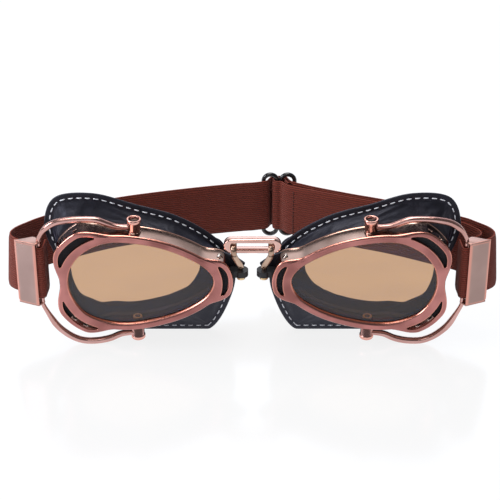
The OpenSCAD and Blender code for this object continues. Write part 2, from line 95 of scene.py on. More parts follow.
# White card under a thin glaze, which camera, mirror and lens see nearly as white as the world
PLAIN_WHITE, GLAZE, FLOOR_HALF = 0.9, 0.07, 4
white_card, tree = new_material("white_card")
rays = add(tree, "LightPath").outputs
seen = add(tree, "Math", {0: rays["Is Camera Ray"], 1: rays["Is Glossy Ray"]}, operation="MAXIMUM")
seen = add(tree, "Math", {0: seen, 1: rays["Is Transmission Ray"]}, operation="MAXIMUM")
lift = add(tree, "Math", {0: seen, 1: PLAIN_WHITE}, operation="MULTIPLY")
card = add(tree, "BsdfDiffuse", {"Color": linear("#F4F6F9")})
glow = add(tree, "Emission", {"Color": linear("#FFFFFF"), "Strength": 1.0})
both = add(tree, "MixShader", {0: lift, 1: card, 2: glow})
glaze = add(tree, "BsdfGlossy", {"Color": linear("#EEF2FF"), "Roughness": 0.16})
both = add(tree, "MixShader", {0: GLAZE, 1: both, 2: glaze})
add(tree, "OutputMaterial", {"Surface": both})
floor_mesh = bpy.data.meshes.new("floor")
floor_mesh.from_pydata([(x * FLOOR_HALF, y * FLOOR_HALF, 0) for x, y in ((-1, -1), (1, -1), (1, 1), (-1, 1))],
                       [], [(0, 1, 2, 3)])
floor = bpy.data.objects.new("floor", floor_mesh)
floor.location.z = -0.0002
floor_mesh.materials.append(white_card)
scene.collection.objects.link(floor)

world = bpy.data.worlds.new("studio")
scene.world = world
world.use_nodes = True
world.node_tree.nodes.clear()
tree = world.node_tree
rays = add(tree, "LightPath").outputs
plain = add(tree, "Background", {"Color": linear("#D8DCE6"), "Strength": 0.5})
white = add(tree, "Background", {"Color": linear("#FFFFFF"), "Strength": 1.0})
# Metal mirrors the bright sweep straight behind the goggles, and a dark room everywhere else
room = add(tree, "TexCoord")
room = add(tree, "SeparateXYZ", {"Vector": room.outputs["Generated"]})
behind = add(tree, "MapRange", {"Value": room.outputs["Y"], 1: -0.1, 2: 0.45, 3: 0.0, 4: 1.0})
below = add(tree, "MapRange", {"Value": room.outputs["Z"], 1: 0.58, 2: 0.78, 3: 1.7, 4: 0.0})
aside = add(tree, "Math", {0: room.outputs["X"]}, operation="ABSOLUTE")
aside = add(tree, "MapRange", {"Value": aside, 1: 0.12, 2: 0.6, 3: 1.0, 4: 0.12})
sweep_light = add(tree, "Math", {0: behind, 1: below}, operation="MULTIPLY")
sweep_light = add(tree, "Math", {0: sweep_light, 1: aside, 2: 0.12},
                  operation="MULTIPLY_ADD")
mirrored = add(tree, "Background", {"Color": linear("#F4F6FA"), "Strength": sweep_light})
both = add(tree, "MixShader", {0: rays["Is Glossy Ray"], 1: plain, 2: mirrored})
seen = add(tree, "Math", {0: rays["Is Camera Ray"], 1: rays["Is Transmission Ray"]}, operation="MAXIMUM")
both = add(tree, "MixShader", {0: seen, 1: both, 2: white})
add(tree, "OutputWorld", {"Surface": both})


def softbox(name, place, aim, width, height, power, colour):
    lamp = bpy.data.lights.new(name, "AREA")
    lamp.shape = "RECTANGLE"
    lamp.size = width
    lamp.size_y = height
    lamp.energy = power
    lamp.color = linear(colour)[:3]
    stand = bpy.data.objects.new(name, lamp)
    stand.location = place
    stand.rotation_euler = (Vector(aim) - Vector(place)).to_track_quat("-Z", "Y").to_euler()
    scene.collection.objects.link(stand)


softbox("softbox_overhead", (-0.1, 0.1, 0.95), (0, 0, 0.02), 0.8, 0.5, 7.0, "#FFFDF8")
softbox("softbox_left", (-0.95, -0.3, 0.5), (0, 0, 0.03), 0.5, 0.5, 8.0, "#F8F9FF")
softbox("softbox_front", (-0.3, -0.95, 0.8), (0, 0, 0.03), 0.5, 0.4, 1.2, "#FFFFFF")


# ---- Cup frames ----
# Each cup is one zinc die casting: a front plate round the lens with three vent slots, and a
# side wall behind it with small air holes. It is plated in antique copper: pinkish where it is
# satin, beige and nearly polished on the wall, and rubbed to salmon along the edges.

MM = 0.001
# As in the part's source, in millimetres: the pivot axes are this far in front of the middle
MID_Y = 28.45
LENS_X, LENS_Z = 47.7, 34.5
HALF_LENS = np.array([31.0, 20.0])
# The opening's control points, counted from the outer end round over the top: the nose is at 7
LENS = np.array([[1, 0], [0.93, 0.44], [0.72, 0.8], [0.38, 1], [-0.1, 0.93], [-0.5, 0.73], [-0.86, 0.4],
                 [-1, 0.04], [-0.88, -0.37], [-0.5, -0.75], [0, -0.98], [0.4, -1], [0.75, -0.8],
                 [0.94, -0.42]])
COUNT = len(LENS)
LENS_POINTS = np.array([LENS_X, LENS_Z]) + LENS * HALF_LENS
PLATE_FRONT, PLATE_BACK, WALL_REAR = -6.5, -4.9, 5.0
PLATE_LIP, WALL_T = 0.8, 1.2
PIVOT_X = 50
# A vent leaves so much metal on the lens's side and on the plate's edge. By the nose it is a
# crescent of its own width and tip, set off from the middle.
SLOT_IN, SLOT_EDGE = 4.0, 2.3
VENTS = [(0.8, 2.5), (6.93, 7.0), (11.5, 13.1)]
NOSE_HALF, NOSE_TIP, NOSE_OFF = 1.35, 0.56, 0.25


def catmull_rom(a, b, c, d, t):
    return 0.5 * (2 * b + (c - a) * t + (2 * a - 5 * b + 4 * c - d) * t ** 2
                  + (3 * b - a - 3 * c + d) * t ** 3)


def closed_at(points, s):
    """Points of a closed Catmull-Rom curve; s counts its control points."""
    s = np.asarray(s, float)
    i = np.floor(s).astype(int)
    t = (s - i)[..., None]
    a, b, c, d = (points[(i + k) % len(points)] for k in (-1, 0, 1, 2))
    return catmull_rom(a, b, c, d, t)


def outward(points, s, step=0.2):
    """The unit normals of a closed curve, away from its middle."""
    along = closed_at(points, np.asarray(s) + step) - closed_at(points, np.asarray(s) - step)
    along /= np.linalg.norm(along, axis=-1, keepdims=True)
    return np.stack([along[..., 1], -along[..., 0]], -1)


def ease(t):
    k = np.clip(t, 0, 1)
    return k * k * (3 - 2 * k)


def lobe(s, start, end, rise, fall):
    return ease((s - start) / rise) * ease((end - s) / fall)


def reach(s):
    """How far the plate reaches beyond the lens opening."""
    s = np.asarray(s, float) % COUNT
    upper, lower = lobe(s, 0, 3.1, 1.3, 1.1), lobe(s, 10.9, 13.9, 0.9, 1.3)
    return 3.6 + 6.1 * upper + 5.0 * lower + 4.8 * lobe(s, 5.7, 8.15, 0.8, 0.8)


def by_nose(s):
    return 5.7 < s < 8.2


def half_slot(s):
    return NOSE_HALF if by_nose(s) else (float(reach(s)) - SLOT_EDGE - SLOT_IN) / 2


def rim_at(s, beyond=0.0):
    """Points that lie so far outside the lens opening, and the way outwards at each."""
    n = outward(LENS_POINTS, s)
    return closed_at(LENS_POINTS, s) + np.reshape(beyond, (-1, 1)) * n, n


def turns(steps):
    """The angles that go once round in so many steps."""
    return np.linspace(0, 2 * math.pi, steps, endpoint=False)


def from_front(flat, y):
    """A point seen from the front, at a depth behind the pivot axes, as a place in millimetres."""
    return [flat[0], y, flat[1]]


def make_piece(name, verts, faces, material, body, slot, nodes=(), side="right", crease=38, **numbers):
    """A mesh from millimetres, mirrored for the left side, that rides on a body and stands for CAD nodes."""
    verts = np.array(verts, float)
    verts[:, 1] -= MID_Y
    if side == "left":
        verts[:, 0] *= -1
        faces = [f[::-1] for f in faces]
    mesh = bpy.data.meshes.new(name)
    mesh.from_pydata((verts * MM).tolist(), [], [list(map(int, f)) for f in faces])
    for key, values in numbers.items():
        mesh.attributes.new(key, "FLOAT", "POINT").data.foreach_set("value", np.array(values, np.float32))
    work = bmesh.new()
    work.from_mesh(mesh)
    bmesh.ops.remove_doubles(work, verts=work.verts, dist=2e-6)
    bmesh.ops.dissolve_degenerate(work, edges=work.edges, dist=1e-7)
    work.to_mesh(mesh)
    work.free()
    mesh.shade_smooth()
    mesh.set_sharp_from_angle(angle=math.radians(crease))
    mesh.materials.append(material)
    made = bpy.data.objects.new(name, mesh)
    scene.collection.objects.link(made)
    if body:
        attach(made, body)
    if nodes:
        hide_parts(*nodes)
    return made


def grid(columns, rows, around=False, closed=False):
    """The quads of a grid of vertices, column by column."""
    faces = []
    for c in range(columns if closed else columns - 1):
        for r in range(rows if around else rows - 1):
            a, b = c * rows + r, c * rows + (r + 1) % rows
            d, e = (c + 1) % columns * rows + r, (c + 1) % columns * rows + (r + 1) % rows
            faces.append([a, d, e, b])
    return faces


def rod_faces(rings, steps):
    """The faces of a rod of so many rings, with both its ends."""
    last = rings * steps
    ends = [list(range(steps - 1, -1, -1)), list(range(last - steps, last))]
    return grid(rings, steps, around=True) + ends


def lathe(profile, centre, steps=48):
    """Verts and faces of an upright turned solid; profile runs from its foot up, as radius and height."""
    verts = [[centre[0] + r * math.cos(a), centre[1] + r * math.sin(a), centre[2] + z]
             for a in turns(steps) for r, z in profile]
    return verts, grid(steps, len(profile), closed=True)


def headings(path):
    """The unit tangents along a path."""
    along = np.gradient(path, axis=0)
    return along / np.linalg.norm(along, axis=1, keepdims=True)


def travelled(path):
    """How far along a path each of its points lies."""
    return np.concatenate([[0], np.cumsum(np.linalg.norm(np.diff(path, axis=0), axis=1))])


def joined(*solids):
    verts, faces = [], []
    for v, f in solids:
        faces += [[i + len(verts) for i in face] for face in f]
        verts += list(v)
    return verts, faces


# Antique copper plating: hard-edged highlights on polished parts, broad ones where it was blasted
def antique_copper(name, tone, rubbed, dull, rough, grain=0.0, streak=None):
    material, tree = new_material(name)
    place = add(tree, "TexCoord").outputs["Object"]
    wear = add(tree, "Attribute", attribute_name="wear")
    # Cloudy tarnish about 15 mm across, and grit of 0.4 mm that is drawn coarser than real plating
    cloud = add(tree, "TexNoise", {"Vector": place, "Scale": 65, "Detail": 2, "Roughness": 0.5})
    cloud = cloud.outputs["Fac"]
    relief = add(tree, "TexNoise", {"Vector": place, "Scale": 2400, "Detail": 2})
    tarnish = add(tree, "MapRange", {"Value": cloud, 1: 0.35, 2: 0.65})
    base = add(tree, "Mix", {0: tarnish, 6: linear(tone), 7: linear(dull)}, data_type="RGBA")
    uneven = add(tree, "Math", {0: cloud, 1: 0.5, 2: 0.7}, operation="MULTIPLY_ADD")
    edge = add(tree, "Math", {0: uneven, 1: wear.outputs["Fac"]}, operation="MULTIPLY",
               use_clamp=True)
    colour = add(tree, "Mix", {0: edge, 6: base.outputs[2], 7: linear(rubbed)}, data_type="RGBA")
    satin = add(tree, "MapRange", {"Value": cloud, 1: 0.3, 2: 0.75, 3: rough - 0.05, 4: rough + 0.09})
    if streak:
        # Brush lines 0.25 mm apart, stretched along the way the sheet was brushed
        long = add(tree, "Mapping", {"Vector": place, "Scale": streak})
        relief = add(tree, "TexNoise", {"Vector": long, "Scale": 1000, "Detail": 3})
    bump = add(tree, "Bump", {"Height": relief.outputs["Fac"], "Strength": 0.08 + grain, "Distance": 0.00012})
    metal = add(tree, "BsdfPrincipled", {"Base Color": colour.outputs[2], "Roughness": satin,
                                         "Normal": bump, "Metallic": 1.0})
    add(tree, "OutputMaterial", {"Surface": metal})
    return material


copper_plate = antique_copper("antique_copper_satin", "#BC7E7A", "#EBA08E", "#925E5A", 0.25)
copper_wall = antique_copper("antique_copper_polished", "#B89C92", "#F0B8A4", "#94796F", 0.15)

# Columns of the casting, closer together at the tips of the vents. A tip is where along the
# curve, which way it points, half its width and its length along the curve.
tips = []
for start, end in VENTS:
    for s, way in ((start, -1), (end, 1)):
        half, step = half_slot(s), np.array([s, s + 0.01])
        stretch = np.diff(rim_at(step, SLOT_IN + half)[0], axis=0)
        tips.append((s, way, half, NOSE_TIP if by_nose(s) else half / (np.linalg.norm(stretch) / 0.01)))
columns = set(np.round(np.arange(0, COUNT, 0.05), 4).tolist())
for s, way, half, length in tips:
    columns |= set(np.round(s + way * length * np.sin(np.linspace(0, math.pi / 2, 9)), 5).tolist())
    columns |= {round(s + way * length * 1.08, 5)}
columns = np.array(sorted(columns))


def vent_at(s):
    """Half the width of the vent at a column, or None between the vents."""
    for (s0, _, half0, length0), (s1, _, half1, length1) in zip(tips[0::2], tips[1::2]):
        if s0 - length0 - 1e-4 <= s <= s1 + length1 + 1e-4:
            if s < s0:
                return half0 * math.sqrt(max(1 - ((s0 - s) / length0) ** 2, 0))
            if s > s1:
                return half1 * math.sqrt(max(1 - ((s - s1) / length1) ** 2, 0))
            return half_slot(s)
    return None


def cup_section(s):
    """Inner and outer chain of the casting's section, as (offset, depth, wear), and whether it is cut."""
    w = float(reach(s))
    middle = (SLOT_IN + w - SLOT_EDGE) / 2 + (NOSE_OFF if by_nose(s) else 0)
    half = vent_at(s)
    cut_here = half is not None

    def face(o):
        return PLATE_FRONT + 0.6 * (2 * o / w - 1) ** 2

    def rim(o, way):
        """The rounded edge of a vent, from behind to the front."""
        return [(o, PLATE_BACK, 0.2 * cut_here), (o, face(o) + 0.42 * cut_here, 0.8 * cut_here),
                (o + 0.08 * way, face(o) + 0.14 * cut_here, 1.0 * cut_here),
                (o + 0.3 * way, face(o) + 0.03 * cut_here, 0.35 * cut_here)]

    def across(start, end, count):
        return [(o, face(o), 0) for o in np.linspace(start, end, count)]

    a, b, wall = middle - (half or 0), middle + (half or 0), w - PLATE_LIP
    inner = rim(a, -1) + across(a - 0.6, 0.75, 4)
    inner += [(0.5, face(0.5), 0.3), (0.22, face(0.2) + 0.1, 1), (0.04, face(0) + 0.34, 0.9),
              (0, face(0) + 0.8, 0.3), (0, PLATE_BACK, 0), (1.3, PLATE_BACK, 0)]
    outer = rim(b, 1) + across(b + 0.55, w - 0.62, 3)
    # Over the plate's edge and back along the wall to the bead that holds the cushion
    outer += [(w - 0.4, face(w - 0.4) + 0.02, 0.35), (w - 0.12, face(w) + 0.12, 1),
              (w, face(w) + 0.42, 0.8), (w, PLATE_BACK - 0.3, 0.4), (w - 0.15, PLATE_BACK - 0.05, 0.3),
              (wall + 0.3, PLATE_BACK + 0.05, 0), (wall + 0.06, PLATE_BACK + 0.3, 0),
              (wall, PLATE_BACK + 1, 0), (wall, 0, 0), (wall, WALL_REAR - 1.1, 0),
              (wall + 0.28, WALL_REAR - 0.75, 0.5), (wall + 0.3, WALL_REAR - 0.3, 0.8),
              (wall + 0.05, WALL_REAR, 0.3), (wall - WALL_T, WALL_REAR, 0), (wall - WALL_T, PLATE_BACK, 0)]
    return inner, outer, cut_here


sections = [cup_section(s) for s in columns]
n_in, n_out = len(sections[0][0]), len(sections[0][1])
cup_verts, cup_wear, cup_faces = [], [], []
for (inner, outer, _), p, n in zip(sections, *rim_at(columns)):
    for offset, depth, rubbed in inner + outer:
        cup_verts.append(from_front(p + offset * n, depth))
        cup_wear.append(rubbed)
stride = n_in + n_out
for c in range(len(columns)):
    d = (c + 1) % len(columns)
    open_here = sections[c][2] and sections[d][2]
    for first, count, flip in ((0, n_in, True), (n_in, n_out, False)):
        for r in range(0 if open_here else 1, count):
            q, t = first + r, first + (r + 1) % count
            quad = [c * stride + q, d * stride + q, d * stride + t, c * stride + t]
            cup_faces.append(quad if flip else quad[::-1])


def ring_solid(s, near, far, y0, y1):
    """A flat ring that follows the lens opening between two offsets, and between two depths."""
    verts = []
    for q, m in zip(*rim_at(s)):
        verts += [from_front(q + near * m, y0), from_front(q + far * m, y0), from_front(q + far * m, y1),
                  from_front(q + near * m, y1)]
    return verts, grid(len(s), 4, around=True, closed=True)


gasket_hold = ring_solid(np.arange(0, COUNT, 0.1), 1.5, 2.7, PLATE_BACK - 0.2, -2.3)


def wall_height(top):
    """The highest or lowest point of the side wall above or below a pivot."""
    s = np.arange(0, COUNT, 0.002)
    p = rim_at(s, reach(s) - PLATE_LIP)[0]
    near = p[np.abs(p[:, 0] - PIVOT_X) < 0.15][:, 1]
    return near.max() if top else near.min()


seat_top, seat_bottom = wall_height(True) + 0.5, wall_height(False) - 0.5
seats = [lathe([(1.3, -1.2), (2.9, -1.2), (2.9, -0.15), (2.7, 0), (1.3, 0)], (PIVOT_X, 0, seat_top)),
         lathe([(1.3, 0), (2.7, 0), (2.9, 0.2), (2.9, 1.2), (1.3, 1.2)], (PIVOT_X, 0, seat_bottom))]

for side in ("left", "right"):
    verts, faces = joined((cup_verts, cup_faces), gasket_hold, *seats)
    spare = len(verts) - len(cup_wear)
    cup = make_piece("copper_cup_" + side, verts, faces, copper_plate, "cup_" + side, "copper_plate",
                     ["cup_frame_" + side], side, wear=cup_wear + [0] * spare)
    cup.data.materials.append(copper_wall)
    # Air holes, drilled square to the wall
    drills = []
    for s in (0.8, 1.2, 1.6, 2.0, 11.4, 11.8, 12.2, 12.6):
        (p,), (n,) = rim_at(np.array([s]), reach(s) - PLATE_LIP)
        turn = Vector((n[0], 0, n[1])).to_track_quat("Z", "Y").to_matrix()
        ring = [[p[0], -1.2, p[1]] + np.array(turn @ Vector((math.cos(a), math.sin(a), h)))
                for h in (-2.4, 2.4) for a in turns(20)]
        sides = [[k, (k + 1) % 20, 20 + (k + 1) % 20, 20 + k] for k in range(20)]
        drills.append((ring, sides + [list(range(19, -1, -1)), list(range(20, 40))]))
    bits = make_piece("drills_" + side, *joined(*drills), copper_plate, None, "copper_plate", side=side)
    cut = cup.modifiers.new("air holes", "BOOLEAN")
    cut.object, cut.solver = bits, "EXACT"
    shape = bpy.data.meshes.new_from_object(cup.evaluated_get(bpy.context.evaluated_depsgraph_get()))
    cup.modifiers.clear()
    cup.data = shape
    bpy.data.objects.remove(bits)
    for f in shape.polygons:
        mid = [sum(shape.vertices[i].co[k] for i in f.vertices) / len(f.vertices) / MM for k in range(3)]
        f.material_index = 1 if mid[1] + MID_Y > PLATE_BACK + 0.02 else 0


def mottled(name, kind, pattern, tones, rough, strength, height, extra=()):
    """A material that one pattern raises by a height in metres and tints between two tones, darker in its
    hollows as painted shade.
    """
    material, tree = new_material(name)
    place = add(tree, "TexCoord")
    found = add(tree, kind, {"Vector": place.outputs["Object"], **pattern}).outputs
    found = found["Distance" if kind == "TexVoronoi" else "Fac"]
    if isinstance(rough, tuple):
        rough = add(tree, "MapRange", {"Value": found, 3: rough[0], 4: rough[1]})
    # The pattern's low places take the first, darker tone: painted shade in its hollows
    tone = add(tree, "Mix", {0: found, 6: linear(tones[0]), 7: linear(tones[1])}, data_type="RGBA")
    bump = add(tree, "Bump", {"Height": found, "Strength": strength, "Distance": height})
    skin = add(tree, "BsdfPrincipled", {"Base Color": tone.outputs[2], "Roughness": rough,
                                        "Normal": bump, **dict(extra)})
    add(tree, "OutputMaterial", {"Surface": skin})
    return material


# Strips of black open-cell foam, with cells of 0.6 mm, stand behind the vents and darken them as painted
# shade, but for the inner end of the lower one
vent_shade_foam = mottled("open_cell_foam", "TexVoronoi", {"Scale": 1700}, ("#08080A", "#24252A"),
                    0.95, 0.8, 0.0003)
for side in ("left", "right"):
    for name, start, end in (("outer", 0.35, 2.95), ("nose", 5.95, 8.0), ("lower", 12.35, 13.7)):
        s = np.arange(start, end, 0.05)
        verts = []
        for q, m, far in zip(*rim_at(s), reach(s) - PLATE_LIP - WALL_T - 0.1):
            verts += [from_front(q + o * m, y)
                      for o, y in ((3.0, -4.8), (3.0, -3.7), (far, -3.7), (far, -4.8))]
        make_piece(f"vent_shade_foam_{name}_{side}", verts, [f[::-1] for f in rod_faces(len(s), 4)], vent_shade_foam,
                   "cup_" + side, "black_leather", side=side)

# Two small rivets by the nose hold the lens clamp to the wall
RIVET_AT = 6.3
rivet_steel = antique_copper("nickelled_rivet", "#D8CEC8", "#FFFFFF", "#B7A8A0", 0.16)
for side in ("left", "right"):
    (p,), (n,) = rim_at(np.array([RIVET_AT]), reach(RIVET_AT) - PLATE_LIP)
    turn = np.array(Vector((n[0], 0, n[1])).to_track_quat("Z", "Y").to_matrix())
    dome, faces = lathe([(1.5, -0.3), (1.5, 0.1), (1.3, 0.42), (0.8, 0.66), (0.01, 0.74)], (0, 0, 0), 32)
    dome = [np.array([p[0], -0.6, p[1]]) + turn @ np.array(v) for v in dome]
    make_piece("rivet_" + side, dome, faces, rivet_steel, "cup_" + side, "screw_steel", side=side)


# ---- Lenses and their gaskets ----
# A flat cut of amber polycarbonate behind each opening, pressed against the plate by a black
# rubber gasket. What lies behind shows through it in amber.

amber, tree = new_material("amber_polycarbonate")
rays = add(tree, "LightPath")
pane = add(tree, "BsdfPrincipled", {"Base Color": linear("#CCA47E"), "Roughness": 0.015, "IOR": 1.45,
                                    "Transmission Weight": 1.0})
clear = add(tree, "BsdfTransparent", {"Color": linear("#CCA47E")})
both = add(tree, "MixShader", {0: rays.outputs["Is Shadow Ray"], 1: pane, 2: clear})
# A faint blue diffuse layer, streaked along a slant, is a painted bluish reflection on the lens
place = add(tree, "TexCoord")
streak_slant = add(tree, "Mapping", {"Vector": place.outputs["Object"], "Scale": (1, 1, 5),
                              "Rotation": (0, 0.35, 0)})
reflection_streaks = add(tree, "TexNoise", {"Vector": streak_slant, "Scale": 30, "Detail": 2})
reflection_streaks = add(tree, "MapRange", {"Value": reflection_streaks.outputs["Fac"], 1: 0.3, 2: 0.7, 3: 0.02, 4: 0.05})
painted_reflection = add(tree, "BsdfDiffuse", {"Color": linear("#2F5FA8")})
both = add(tree, "MixShader", {0: reflection_streaks, 1: both, 2: painted_reflection})
add(tree, "OutputMaterial", {"Surface": both})

# Moulded rubber, mottled every 1.7 mm
black_rubber = mottled("moulded_black_rubber", "TexNoise", {"Scale": 600, "Detail": 4},
                       ("#16161A", "#2A2B30"), 0.62, 0.2, 0.0001)


def dress(node, material):
    """Gives a CAD node that is shown a material of the scene."""
    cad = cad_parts[node]
    cad.data.materials.clear()
    cad.data.materials.append(material)
    return cad


for side in ("left", "right"):
    dress("lens_" + side, amber)
    dress("lens_gasket_" + side, black_rubber)
    dress("cushion_ring_" + side, black_rubber)


# ---- Leather cushions ----
# A ring of foam in black cowhide, clamped inside the cup's rear edge. The front skirt swells out
# to a flat brim, where it is sewn to the face side with white thread through both layers.

# How far the brim, and the opening for the eye, lie from each of the lens's control points
BRIM = np.array([[5.9, 0], [13, 9.3], [14.5, 16.6], [8.5, 14.8], [5.4, 10.8], [-0.2, 9], [-5, 5.1],
                 [-8.7, -0.2], [-11.6, -8.1], [-13.2, -19.4], [-9.7, -15], [-0.1, -13.2], [6, -9.5],
                 [7.4, -4.6]])
BRIM_POINTS = LENS_POINTS + BRIM
HOLE = np.array([[0.9, -1.5], [1, 2], [1, 2.5], [0.5, 2.3], [0, 2], [1, 1.8], [4, 1], [6.6, -1],
                 [4.2, -1.1], [-1.2, -1.9], [-1.7, -3.2], [0.4, -5.3], [2, -5.7], [1.5, -4.1]])
HOLE_POINTS = LENS_POINTS + HOLE

black_leather, tree = new_material("black_cowhide")
place = add(tree, "TexCoord").outputs["Object"]
# Pores and creases about 0.7 mm apart, over soft wrinkles of 4 mm
pores = add(tree, "TexVoronoi", {"Vector": place, "Scale": 1500}, feature="DISTANCE_TO_EDGE")
folds = add(tree, "TexNoise", {"Vector": place, "Scale": 260, "Detail": 5, "Roughness": 0.55})
# The hide is painted darker in the hollows of its wrinkles and lighter on their crests: painted shade
wrinkle_shade = add(tree, "MapRange", {"Value": folds.outputs["Fac"], 1: 0.4, 2: 0.72})
tone = add(tree, "Mix", {0: wrinkle_shade, 6: linear("#0B0B10"), 7: linear("#15161E")}, data_type="RGBA")
shine = add(tree, "MapRange", {"Value": folds.outputs["Fac"], 1: 0.3, 2: 0.7, 3: 0.36, 4: 0.52})
creased = add(tree, "MapRange", {"Value": pores.outputs["Distance"], 1: 0.0, 2: 0.12})
bump = add(tree, "Bump", {"Height": creased, "Strength": 0.35, "Distance": 0.00008})
bump = add(tree, "Bump", {"Height": folds.outputs["Fac"], "Strength": 0.5, "Distance": 0.0004,
                          "Normal": bump})
# The specular and sheen tints are blue: a painted bluish cast on the hide's highlights
hide = add(tree, "BsdfPrincipled", {"Base Color": tone.outputs[2], "Roughness": shine,
                                    "Normal": bump, "Specular Tint": linear("#E2E3FA"),
                                    "Sheen Weight": 0.35, "Sheen Roughness": 0.4,
                                    "Sheen Tint": linear("#A9A8D0")})
add(tree, "OutputMaterial", {"Surface": hide})

# Near-black fleece lines the cushion's inner side, with a nap of 0.8 mm; it is darker than the hide and
# reflects little, which paints the shade inside the cup
fleece_and_painted_shade = mottled("black_fleece_lining", "TexNoise", {"Scale": 1250, "Detail": 3},
                       ("#050609", "#10111A"), 0.95, 0.5, 0.0002, {"Specular IOR Level": 0.1})

# Waxed thread, its twist drawn about 1 mm long
TWIST = {"Scale": 900, "Distortion": 2}
waxed_thread = mottled("waxed_white_thread", "TexWave", TWIST, ("#C4C8D0", "#F2F3F6"), 0.7, 0.4, 0.0001)


def brim_at(s):
    p = closed_at(BRIM_POINTS, s)
    return np.stack([p[:, 0], np.maximum(p[:, 1], 0.05)], -1)


pad_s = np.arange(0, COUNT, 0.07)
wall_out = rim_at(pad_s, reach(pad_s) - PLATE_LIP)[0]
clamp = rim_at(pad_s, reach(pad_s) - PLATE_LIP - WALL_T - 0.8)[0]
brim, hole = brim_at(pad_s), closed_at(HOLE_POINTS, pad_s)
# The hide lies flat over so much of the brim's edge
FLAT_EDGE = 3.7
sew = brim - FLAT_EDGE * outward(brim, np.arange(len(pad_s)), 1)
# Rows of the section, by the two curves between which they lie: by what share, at what depth,
# and whether the row is pinned while the foam swells
ROWS = [(clamp, wall_out, [(0.05, 5.15, 1), (0.97, 5.2, 1)]),
        (wall_out, sew, [(0.12, 5.3, 0), (0.26, 5.6, 0), (0.4, 6.1, 0), (0.54, 6.8, 0), (0.68, 7.7, 0),
                         (0.81, 8.6, 0), (0.92, 9.5, 0)]),
        (sew, brim, [(0.0, 10.15, 1), (0.3, 10.4, 1), (0.65, 10.4, 1), (0.9, 10.45, 1), (1.0, 10.85, 1),
                     (0.96, 11.5, 1), (0.75, 11.75, 1), (0.1, 11.9, 1)]),
        (wall_out, sew, [(0.9, 12.6, 0), (0.76, 13.8, 0), (0.6, 15.2, 0), (0.42, 16.4, 0),
                         (0.22, 17.3, 0)]),
        (hole, wall_out, [(0.85, 18.0, 0), (0.65, 18.3, 0), (0.45, 18.2, 0), (0.25, 17.6, 0),
                          (0.1, 16.6, 0), (0.0, 15.2, 1)]),
        (hole, clamp, [(0.12, 13.4, 0), (0.35, 11.0, 0), (0.62, 8.6, 0), (0.86, 6.6, 0)])]
ROWS = [(a, b, *row) for a, b, rows in ROWS for row in rows]
# The rows that the thread draws into ruffles, and the first one that the fleece covers
RUFFLED, LINED_FROM = (8, 9, 16, 17), 26
pad_verts = []
for i in range(len(pad_s)):
    pucker = math.sin(2 * math.pi * i / 3.3) * 0.5 + math.sin(i * 1.7) * 0.5
    for r, (a, b, share, depth, _) in enumerate(ROWS):
        flat = a[i] * (1 - share) + b[i] * share
        ruffle = 0.14 * pucker if r in RUFFLED else 0
        pad_verts.append(from_front(flat, depth + ruffle))
pad_faces = grid(len(pad_s), len(ROWS), around=True, closed=True)
held = np.array([row[4] for row in ROWS] * len(pad_s), float)

# White stitches, 2.4 mm inside the brim's edge and bowed into the hide
STITCH, PITCH, THREAD_R = 2.7, 3.6, 0.27
seam_s = np.arange(0, COUNT, 0.005)
seam = brim_at(seam_s)
seam = seam - 2.4 * outward(seam, np.arange(len(seam_s)), 3)
travel = travelled(seam)


def on_seam(d):
    return np.array([np.interp(d, travel, seam[:, 0]), np.interp(d, travel, seam[:, 1])])


stitches = []
for k in range(int(travel[-1] / PITCH)):
    at = (k + 0.2) * PITCH
    if on_seam(at)[1] < 1.2:
        continue
    for y, way in ((10.38, -1), (11.8, 1)):
        rope = []
        for t in np.linspace(0, 1, 9):
            p = on_seam(at + STITCH * t)
            along = (on_seam(at + STITCH * t + 0.1) - p) / 0.1
            bow = way * (0.42 * math.sin(math.pi * t) ** 0.6 - 0.28)
            thick = THREAD_R * (0.55 + 0.45 * math.sin(math.pi * t) ** 0.5)
            for a in turns(8):
                side_step = thick * math.cos(a) * np.array([-along[1], along[0]])
                rope.append(from_front(p + side_step, y + bow + way * thick * 0.7 * math.sin(a)))
        stitches.append((rope, rod_faces(9, 8)))

# Foam and hide together give way by 1.2 mm at most
CLOTH_SCALE, MOST_SWELL = 10, 0.0012
for side in ("left", "right"):
    pad = make_piece("leather_cushion_" + side, pad_verts, pad_faces, black_leather, None, "black_leather",
                     ["cushion_" + side], side, crease=75)
    pad.data.materials.append(fleece_and_painted_shade)
    for f in pad.data.polygons:
        f.material_index = 1 if f.index % len(ROWS) >= LINED_FROM else 0
    start = np.array([v.co for v in pad.data.vertices])
    # The foam swells the hide between its seams. Cloth is happier at ten times the size.
    pad.scale = (CLOTH_SCALE,) * 3
    bpy.context.view_layer.objects.active = pad
    pad.select_set(True)
    bpy.ops.object.transform_apply(location=False, rotation=False, scale=True)
    group = pad.vertex_groups.new(name="seams")
    group.add([int(i) for i in np.nonzero(held)[0]], 1.0, "REPLACE")
    cloth = pad.modifiers.new("swell", "CLOTH")
    cloth.settings.vertex_group_mass = "seams"
    cloth.settings.use_pressure = True
    cloth.settings.uniform_pressure_force = 4
    cloth.settings.effector_weights.gravity = 0
    cloth.settings.quality = 5
    for f in range(1, 21):
        scene.frame_set(f)
    swollen = pad.evaluated_get(bpy.context.evaluated_depsgraph_get())
    end = np.array([v.co for v in swollen.data.vertices]) / CLOTH_SCALE
    pad.modifiers.clear()
    pad.vertex_groups.clear()
    scene.frame_set(1)
    move = end - start
    size = np.linalg.norm(move, axis=1, keepdims=True)
    move *= np.minimum(1, MOST_SWELL / np.maximum(size, 1e-9))
    pad.data.vertices.foreach_set("co", (start + move).ravel())
    pad.select_set(False)
    smooth = pad.modifiers.new("smooth", "SUBSURF")
    smooth.levels = smooth.render_levels = 1
    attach(pad, "cup_" + side)
    make_piece("brim_stitches_" + side, *joined(*stitches), waxed_thread, "cup_" + side, "black_leather",
               side=side)
    dress("nose_tab_" + side, black_leather)


# ---- Bails ----
# A bent flat bar in antique copper that swings on two pivot screws above and below the cup and
# carries the strap clip on its upright rod. The barrels are turned, each with a recessed end.

